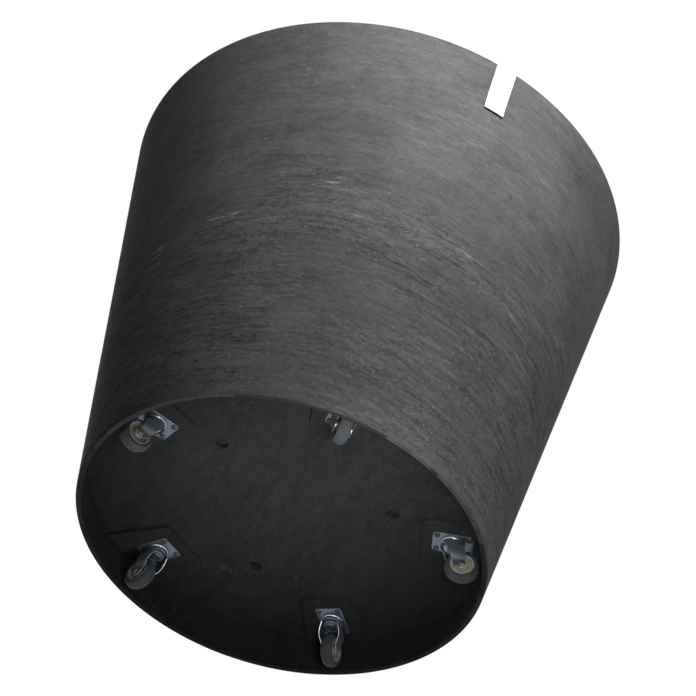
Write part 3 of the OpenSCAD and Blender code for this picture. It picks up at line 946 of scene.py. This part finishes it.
def makeScrews():
    model = makeScrewModel()
    middle = middleOf(castorNode(castorNumbers[0], "kingpin"))
    screws = putObject("plateScrews", bpy.data.meshes.new("plateScrews"))
    runTree(screws, screwTree(model), {
        "Castors": len(castorNumbers),
        "Ring radius": math.hypot(middle.x, middle.y),
        "First angle": math.atan2(middle.y, middle.x),
        "Pitch along": head["pitchLong"], "Pitch across": head["pitchAcross"],
        "Height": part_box(castorNode(castorNumbers[0], "plate"))[1].z - head["plateSheet"],
        "Seed": 7, "Screw": model, "Material": materials["dark"]}, 40)
    takeAway(model)
    return screws


# Two rows of balls, turned to each castor's swivel
def ballTree():
    tree, given, result = newTree("bearingBalls", [
        ("Ball", "Float", 0.003), ("Upper count", "Int", 12), ("Upper radius", "Float", 0.01),
        ("Upper height", "Float", 0.0), ("Lower count", "Int", 8), ("Lower radius", "Float", 0.01),
        ("Lower height", "Float", 0.0), ("Material", "Material", None)])
    half = calculate(tree, "MULTIPLY", given["Ball"], 0.5)
    ball = addNode(tree, "GeometryNodeMeshIcoSphere", {"Subdivisions": 3, "Radius": half})
    smooth = addNode(tree, "GeometryNodeSetShadeSmooth", {"Geometry": ball.outputs["Mesh"]})
    both = addNode(tree, "GeometryNodeJoinGeometry")
    for row in ("Upper", "Lower"):
        ring = addNode(tree, "GeometryNodeMeshCircle", {
            "Vertices": given[row + " count"], "Radius": given[row + " radius"]})
        balls = addNode(tree, "GeometryNodeInstanceOnPoints", {
            "Points": ring.outputs["Mesh"], "Instance": smooth.outputs[0]})
        place = addNode(tree, "GeometryNodeTransform", {
            "Geometry": balls.outputs[0], "Translation": alongZ(tree, given[row + " height"])})
        tree.links.new(place.outputs[0], both.inputs[0])
    closeTree(tree, both.outputs[0], given["Material"], result)
    return tree


def makeBallsModel():
    low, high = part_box(castorNode(castorNumbers[0], "balls"))
    balls = putObject("ballsModel", bpy.data.meshes.new("ballsModel"))
    return runTree(balls, ballTree(), {
        "Ball": head["ball"],
        "Upper count": head["upperBalls"], "Upper radius": head["upperRing"],
        "Upper height": high.z - head["ball"] / 2,
        "Lower count": head["lowerBalls"], "Lower radius": head["lowerRing"],
        "Lower height": low.z + head["ball"] / 2, "Material": materials["ball"]}, 60)


# Fork: one sheet, round the crown and down both sides, as a skin that is given its thickness

fork = {
    "sheet": 0.002,
    "crownRadius": 0.017,
    "holeRadius": 0.0053,
    "bend": 0.003,
    "skirtDrop": 0.002,       # below the crown's underside
    "legHalf": 0.0123,        # from the middle to a leg's outer face at the axle
    "legStart": 0.0551,       # height where the legs begin to draw in
    "legUpright": 0.0262,     # height below which they are upright
    "bulge": 4.0,             # how long they stay wide between the two
    "footBack": 0.0138,
    "footFront": 0.0042,
    "footDrop": 0.0062,
    "footRise": 0.0093,
    "earReach": 0.0196,
    "earHeight": 0.0511,
    "notchReach": 0.0145,
    "earInset": 0.0014,
    "rearReach": -0.0118,
    # A leg's rear edge from the crown's skirt to its foot, as places along the trail and heights
    "rearEdge": [(-0.0108, 0.0550), (-0.0088, 0.0506), (-0.0060, 0.0461), (-0.0034, 0.0424),
                 (-0.0005, 0.0370), (0.0022, 0.0320), (0.0049, 0.0275), (0.0062, 0.0250)],
    # The crown's face with its ball groove, as radii and drops from its top
    "crownFace": [(0.0075, 0), (0.0100, 0), (0.0110, 0.0001), (0.0117, 0.0006), (0.0125, 0.0009),
                  (0.0133, 0.0006), (0.0139, 0.0001)],
    "edgeRound": 0.0004,
    "rearRim": 0.0006,        # how far the crown's rim hangs below its bend at the rear
    "columns": 14,
    "rowCounts": (7, 6, 28),
}


# A line's points at even steps along it, both ends included
def walkLine(points, count):
    lengths = [0]
    for a, b in zip(points, points[1:]):
        lengths.append(lengths[-1] + math.dist(a, b))
    walked = []
    for i in range(count + 1):
        along = lengths[-1] * i / count
        reached = (n for n, length in enumerate(lengths) if length >= along - tiny * tiny)
        k = max(1, next(reached, len(points) - 1))
        share = (along - lengths[k - 1]) / (lengths[k] - lengths[k - 1])
        share = min(1, max(0, share))
        walked.append(tuple(a + (b - a) * share for a, b in zip(points[k - 1], points[k])))
    return walked


def easeStep(value):
    value = min(1, max(0, value))
    return value * value * (3 - 2 * value)


# Half the fork's outer width at a place seen from the side
def forkHalfWidth(x, z):
    start, upright = fork["legStart"], fork["legUpright"]
    down = min(1, max(0, (start - z) / (start - upright)))
    down = easeStep(down) ** fork["bulge"]
    crown, leg = fork["crownRadius"], fork["legHalf"]
    backX = trail - fork["footBack"] - 0.001
    frontX = trail + fork["footFront"] + 0.001
    roundR = (1 - down) * crown
    flat = down * leg + roundR
    if x < down * backX:
        return down * leg + math.sqrt(max(0, roundR ** 2 - (x - down * backX) ** 2))
    curved = flat
    if x > down * frontX:
        curved = down * leg + math.sqrt(max(0, roundR ** 2 - (x - down * frontX) ** 2))
    plateLike = flat - (1 - down) * fork["earInset"] * max(0, x) / fork["earReach"]
    skirtZ = forkHeights()["skirt"]
    share = easeStep((skirtZ - z) / (skirtZ - fork["earHeight"] + 0.001))
    return curved * (1 - share) + plateLike * share


def forkHeights():
    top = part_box(castorNode(castorNumbers[0], "fork"))[1].z
    return {"top": top, "bend": top - fork["bend"], "skirt": top - fork["sheet"] - fork["skirtDrop"]}


# Both edges of a side, seen from that side, in three matching stretches
def forkBorders():
    heights = forkHeights()
    foot, rise = fork["footDrop"], fork["footRise"]
    backX, toeX = trail - fork["footBack"], trail + fork["footFront"]
    notch, ear, earZ = fork["notchReach"], fork["earReach"], fork["earHeight"]
    slope = [(fork["rearReach"], heights["skirt"])] + fork["rearEdge"]

    def onSlope(z):
        for above, below in zip(slope, slope[1:]):
            if above[1] >= z >= below[1]:
                share = (above[1] - z) / (above[1] - below[1])
                return above[0] + (below[0] - above[0]) * share, z

    upper, middle = onSlope(earZ - 0.001), onSlope(earZ - 0.0062)
    rear = [[slope[0], upper], [upper, middle],
            [middle] + [point for point in slope if point[1] < middle[1] - tiny]
            + arc((backX + foot, axleHeight), foot, 190, 270, 9)]
    small, corner = 0.0008, 0.002
    front = [[(notch, heights["skirt"])] + arc((notch + small, earZ + small), small, 180, 225, 3),
             arc((notch + small, earZ + small), small, 225, 270, 3)
             + arc((ear - corner, earZ - corner), corner, 90, 12, 6),
             [(ear - 0.00005, earZ - corner + 0.0004), (toeX - fork["sheet"], axleHeight + rise)]
             + arc((toeX - foot, axleHeight), foot, 5, -90, 10)]
    borders = []
    for stretches in (rear, front):
        border = [stretches[0][0]]
        for stretch, count in zip(stretches, fork["rowCounts"]):
            border += walkLine(stretch, count)[1:]
        borders.append(border)
    return borders


def forkSkin():
    heights = forkHeights()
    crown = fork["crownRadius"]
    rearAngle = math.acos(fork["rearReach"] / crown)
    frontAngle = math.acos(fork["notchReach"] / crown)
    columns = fork["columns"]
    legAngles = [rearAngle + (frontAngle - rearAngle) * j / columns for j in range(columns + 1)]
    gap = [-frontAngle + 2 * frontAngle * i / 8 for i in range(1, 8)]
    backGap = [rearAngle + (2 * math.pi - 2 * rearAngle) * i / 6 for i in range(1, 6)]
    angles = legAngles[::-1] + backGap + [2 * math.pi - a for a in legAngles] + gap
    bend = fork["bend"]
    profile = [(fork["holeRadius"], heights["top"])]
    profile += [(radius, heights["top"] - drop) for radius, drop in fork["crownFace"]]
    profile += arc((crown - bend, heights["bend"]), bend, 85, 5, 4)
    profile += [(crown, (heights["bend"] + heights["skirt"]) / 2), (crown, heights["skirt"])]
    points, faces, loops = [], [], []
    for radius, height in profile:
        loops.append([len(points) + i for i in range(len(angles))])
        # Behind the legs the crown's rim ends higher
        backHeight = max(height, heights["bend"] - fork["rearRim"])
        points += [(*polar(radius, a), backHeight if a in backGap else height) for a in angles]
    for inner, outer in zip(loops, loops[1:]):
        faces += [quad[::-1] for quad in bridge(inner, outer)]
    rear, front = forkBorders()
    for side, first in ((1, 0), (-1, columns + 1 + len(backGap))):
        # Columns run front to rear on one side and rear to front on the other
        above = [loops[-1][first + j] for j in range(columns + 1)]
        if side == 1:
            above = above[::-1]
        for i in range(1, len(rear)):
            row = []
            even = easeStep(i / len(rear) * 3)
            for j in range(columns + 1):
                circleX = crown * math.cos(legAngles[j])
                circleShare = (circleX - fork["rearReach"]) / (fork["notchReach"] - fork["rearReach"])
                share = circleShare * (1 - even) + j / columns * even
                x = rear[i][0] + (front[i][0] - rear[i][0]) * share
                z = rear[i][1] + (front[i][1] - rear[i][1]) * share
                row.append(len(points))
                points.append((x, side * forkHalfWidth(x, z), z))
            for j in range(columns):
                quad = (above[j], above[j + 1], row[j + 1], row[j])
                faces.append(quad if side == -1 else quad[::-1])
            above = row
    return points, faces


def makeForkModel():
    points, faces = forkSkin()
    mesh = bpy.data.meshes.new("forkModel")
    mesh.from_pydata(points, [], faces)
    work = bmesh.new()
    work.from_mesh(mesh)
    bmesh.ops.recalc_face_normals(work, faces=work.faces)
    crownFace = max(work.faces, key=lambda face: face.calc_center_median().z)
    if crownFace.normal.z < 0:
        bmesh.ops.reverse_faces(work, faces=work.faces)
    work.to_mesh(mesh)
    work.free()
    model = putObject("forkModel", mesh)
    # Outside, rim with the bright zinc copy as a painted highlight, and inside with the darker copy as
    # painted shade
    dress(model, "fork", "edge", "dull")
    addModifier(model, "SOLIDIFY", thickness=fork["sheet"], offset=-1, use_even_offset=True,
                thickness_clamp=1, material_offset=2, material_offset_rim=1)
    addModifier(model, "BEVEL", width=fork["edgeRound"], segments=2, limit_method="ANGLE",
                angle_limit=math.radians(55))
    applyModifiers(model, "forkModel", 40)
    return model


# Wheel: hub, tyre, and the riveted axle, turned about Z and laid along the axle

wheel = {
    "radius": 0.025,
    "width": 0.018,
    "tread": 0.013,
    "hubRadius": 0.0174,
    "hubRim": 0.0021,
    "lipSpread": 0.0002,      # the lip's painted highlight reaches this far inside the rim
    "lipDepth": 0.0007,       # and this far down from its top
    "web": 0.004,
    "boss": 0.0075,
    "bossWidth": 0.020,
    "bore": 0.0041,
    "axle": 0.003,
    "axleHead": 0.0048,
    "axleHeadHeight": 0.0012,
    "segments": 72,
}


def mirrored(half):
    return half + [(radius, -height) for radius, height in half[::-1]]


def hubProfile():
    half, web = wheel["width"] / 2, wheel["web"] / 2
    outer, inner = wheel["hubRadius"], wheel["hubRadius"] - wheel["hubRim"]
    boss, bossHalf = wheel["boss"], wheel["bossWidth"] / 2
    ring = boss + 0.55 * (inner - boss)
    ringWide = 0.12 * (inner - boss)
    up = [(wheel["bore"], 0), (wheel["bore"], bossHalf - 0.0003), (wheel["bore"] + 0.0003, bossHalf),
          (boss - 0.0007, bossHalf), (boss - 0.0001, bossHalf - 0.0005), (boss, bossHalf - 0.0010),
          (boss + 0.0003, web + 0.0008), (boss + 0.0009, web + 0.0001),
          (ring - 0.0002, web), (ring, web + ringWide * 0.8), (ring + ringWide * 0.5, web + ringWide),
          (ring + ringWide, web + ringWide * 0.8), (ring + ringWide + 0.0002, web),
          (inner - 0.0012, web), (inner - 0.0004, web + 0.0004), (inner - 0.0001, web + 0.0012),
          (inner, half - 0.0009), (inner + 0.0003, half - 0.0003), (inner + 0.0008, half),
          (outer - 0.0006, half), (outer - 0.0001, half - 0.0003), (outer, half - 0.0008), (outer, 0)]
    return mirrored(up)


def tyreProfile():
    half, seat = wheel["width"] / 2, wheel["hubRadius"] + 0.00005
    tread = wheel["tread"]
    reach = math.degrees(math.asin(half / tread))
    centre = (wheel["radius"] - tread, 0)
    curve = arc(centre, tread, reach - 2, 0, 12)
    shoulder = curve[0][0]
    up = [(seat, half - 0.0010), (seat + 0.0004, half - 0.0002), (seat + 0.0010, half),
          ((seat + shoulder) / 2, half - 0.00005), (shoulder - 0.0003, half - 0.0001)] + curve
    # A faint parting line runs round the middle of the tread
    up[-1] = (wheel["radius"], 0.00045)
    return mirrored(up)


def axleProfile():
    low = fork["legHalf"]
    high = low + wheel["axleHeadHeight"]
    radius, rivet = wheel["axle"], wheel["axleHead"]
    up = [(0, high), (rivet * 0.42, high - 0.00004), (rivet * 0.74, high - 0.00022),
          (rivet * 0.93, high - 0.00055), (rivet, high - 0.0009), (rivet, low), (radius, low)]
    return up + [(r, -h) for r, h in up[::-1]]


def onAxle():
    return Matrix.Translation((trail, 0, axleHeight)) @ Matrix.Rotation(math.radians(90), 4, "X")


def makeWheelModels():
    hub = makePiece("hubModel", *turn(hubProfile(), wheel["segments"], closed=True), 32)
    tyre = makePiece("tyreModel", *turn(tyreProfile(), wheel["segments"], closed=True), 32)
    axle = makePiece("axleModel", *turn(axleProfile(), 40), 32)
    dress(hub, "cream", "lip")
    dress(tyre, "rubber")
    dress(axle, "fork")
    # The hub's raised lip gets the brighter cream copy, a painted highlight against its web
    lipInside = wheel["hubRadius"] - wheel["hubRim"] - wheel["lipSpread"]
    lipFoot = wheel["width"] / 2 - wheel["lipDepth"]
    for polygon in hub.data.polygons:
        middle = polygon.center
        if math.hypot(middle.x, middle.y) > lipInside and abs(middle.z) > lipFoot:
            polygon.material_index = 1
    for model in (hub, tyre, axle):
        finishMesh(model, onAxle())
    return hub, tyre, axle


plateModel = makePlateModel()
kingpinModel = makeKingpinModel()
raceModel = makeRaceModel()
ballsModel = makeBallsModel()
forkModel = makeForkModel()
hubModel, tyreModel, axleModel = makeWheelModels()
print("castor models made, fork faces:", len(forkModel.data.polygons))


# Every castor gets its own pieces; the record's slots are named beside them
def placeCastor(number):
    place = places[number]
    rows = [
        ("plate", plateModel, "plate", "tub", "zinc_plate"),
        ("kingpin", kingpinModel, "plate", "tub", "dark_zinc"),
        ("lower_race", raceModel, "plate", "tub", "zinc_plate"),
        ("balls", ballsModel, "swivel", f"swivel_{number}", "ball_steel"),
        ("fork", forkModel, "swivel", f"swivel_{number}", "zinc_plate"),
        ("axle", axleModel, "swivel", f"swivel_{number}", "dark_zinc"),
        ("hub", hubModel, "swivel", f"wheel_{number}", "cream_plastic"),
        ("tyre", tyreModel, "swivel", f"wheel_{number}", "grey_rubber"),
    ]
    for nodePiece, model, seat, body, slotName in rows:
        piece = placeCopy(model, f"castor{number}_{nodePiece}", place[seat])
        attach(piece, body)
        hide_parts(castorNode(number, nodePiece))
    bush = frame["nodes"][castorNode(number, "bush")]
    bush.data.materials.clear()
    dress(bush, "ball")


for castorNumber in castorNumbers:
    placeCastor(castorNumber)
takeAway(plateModel, kingpinModel, raceModel, ballsModel, forkModel, hubModel, tyreModel, axleModel)

plateScrews = makeScrews()
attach(plateScrews, "tub")
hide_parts(*[castorNode(number, "screws") for number in castorNumbers])
print("castors placed:", len(castorNumbers))


# Floor, lamps, world and camera

studio = {
    "floorSize": 12.0,
    "floorTone": 0.86,
    "ambient": 0.01,
    "lamps": {
        "nearKey": {"at": (-0.12, -1.00, 0.95), "aim": (0.0, 0.0, 0.50),
                    "watts": 3.8, "size": 0.40, "spread": 170},
        "lowKey": {"at": (0.10, -0.90, 0.65), "aim": (0.0, 0.0, 0.50),
                   "watts": 2.7, "size": 0.30, "spread": 170},
        "midKey": {"at": (0.45, -0.95, 0.85), "aim": (0.0, 0.0, 0.50),
                   "watts": 0.5, "size": 0.40, "spread": 170},
        "rightFill": {"at": (1.60, -0.60, 0.90), "aim": (0.0, 0.0, 0.40),
                      "watts": 5.6, "size": 0.60, "spread": 170},
        "leftFill": {"at": (-0.55, -0.95, 0.90), "aim": (0.0, 0.0, 0.50),
                     "watts": 1.6, "size": 0.40, "spread": 170},
        "underLamp": {"at": (0.20, -0.10, -0.93), "aim": (-0.085, -0.04, 0.073),
                      "watts": 0.14, "size": 0.20, "spread": 42},
        "underMid": {"at": (0.20, -0.45, -0.88), "aim": (-0.085, -0.08, 0.073),
                     "watts": 0.07, "size": 0.20, "spread": 36},
        "underFront": {"at": (0.05, -0.85, -0.60), "aim": (0.06, -0.12, 0.073),
                       "watts": 0.21, "size": 0.20, "spread": 40},
        "backLeft": {"at": (-0.45, 2.00, 1.30), "aim": (0.0, 0.0, 0.40),
                     "watts": 7, "size": 0.90, "spread": 170},
        "backRight": {"at": (0.90, 1.90, 1.30), "aim": (0.0, 0.0, 0.40),
                      "watts": 5, "size": 0.90, "spread": 170},
        "topLamp": {"at": (0.10, 0.20, 2.60), "aim": (0.0, 0.0, 0.0),
                    "watts": 10, "size": 1.20, "spread": 170},
    },
}


# Shows the first shader where share is 0 and the second where it is 1
def mixShaders(tree, share, first, second, outputKind):
    mix = addNode(tree, "ShaderNodeMixShader", {0: share, 1: first, 2: second})
    output = next(node for node in tree.nodes if node.type == outputKind)
    tree.links.new(mix.outputs[0], output.inputs["Surface"])


# White from above, seen through from below, and not in the light's way
def makeFloor():
    half = studio["floorSize"] / 2
    floor = makePiece("floor", [(-half, -half, 0), (half, -half, 0), (half, half, 0), (-half, half, 0)],
                      [(0, 1, 2, 3)])
    if floor.data.polygons[0].normal.z < 0:
        floor.data.flip_normals()
    material, tree, shader = newMaterial("floorPaper", 0.9, 0, 0.1)
    shader.inputs["Base Color"].default_value = grey(studio["floorTone"])
    back = addNode(tree, "ShaderNodeNewGeometry").outputs["Backfacing"]
    clear = addNode(tree, "ShaderNodeBsdfTransparent")
    mixShaders(tree, back, shader.outputs[0], clear.outputs[0], "OUTPUT_MATERIAL")
    floor.data.materials.append(material)
    floor.visible_diffuse = False
    floor.visible_glossy = False
    floor.visible_shadow = False


def makeLamp(name, lamp):
    light = bpy.data.lights.new(name, "AREA")
    light.shape = "DISK"
    light.size = lamp["size"]
    light.energy = lamp["watts"]
    light.spread = math.radians(lamp["spread"])
    holder = putObject(name, light)
    holder.location = lamp["at"]
    holder.rotation_mode = "QUATERNION"
    holder.rotation_quaternion = (Vector(lamp["aim"]) - Vector(lamp["at"])).to_track_quat("-Z", "Y")
    holder.visible_camera = False


def makeWorld():
    world = bpy.data.worlds.new("studioWorld")
    bpy.context.scene.world = world
    world.use_nodes = True
    tree = world.node_tree
    dim, white = tree.nodes["Background"], addNode(tree, "ShaderNodeBackground")
    for node, strength in ((dim, studio["ambient"]), (white, 1)):
        wire(tree, grey(1), node.inputs["Color"])
        wire(tree, strength, node.inputs["Strength"])
    rays = addNode(tree, "ShaderNodeLightPath")
    seen = calculate(tree, "MAXIMUM", rays.outputs["Is Camera Ray"], rays.outputs["Is Glossy Ray"])
    seen = calculate(tree, "MAXIMUM", seen, rays.outputs["Is Transmission Ray"])
    mixShaders(tree, seen, dim.outputs[0], white.outputs[0], "OUTPUT_WORLD")


# The photograph looks up at the tub's underside
camera = {
    "at": (-0.4326, -2.6541, -2.1463),
    "right": (0.9137, -0.35153, 0.20392),
    "up": (-0.38803, -0.60555, 0.69479),
    "lens": 124.48,
    "sensor": 36.0,
}


def makeCamera():
    data = bpy.data.cameras.new("photoCamera")
    data.sensor_width = camera["sensor"]
    data.lens = camera["lens"]
    data.clip_start = 0.01
    data.clip_end = 100
    holder = putObject("photoCamera", data)
    right = Vector(camera["right"]).normalized()
    up = Vector(camera["up"]).normalized()
    back = right.cross(up).normalized()
    up = back.cross(right)
    holder.matrix_world = Matrix.Translation(camera["at"]) @ Matrix((right, up, back)).transposed().to_4x4()
    bpy.context.scene.camera = holder


makeFloor()
for lampName, lampValues in studio["lamps"].items():
    makeLamp(lampName, lampValues)
makeWorld()
makeCamera()
bpy.context.scene.view_settings.view_transform = "Standard"
print("stage set")
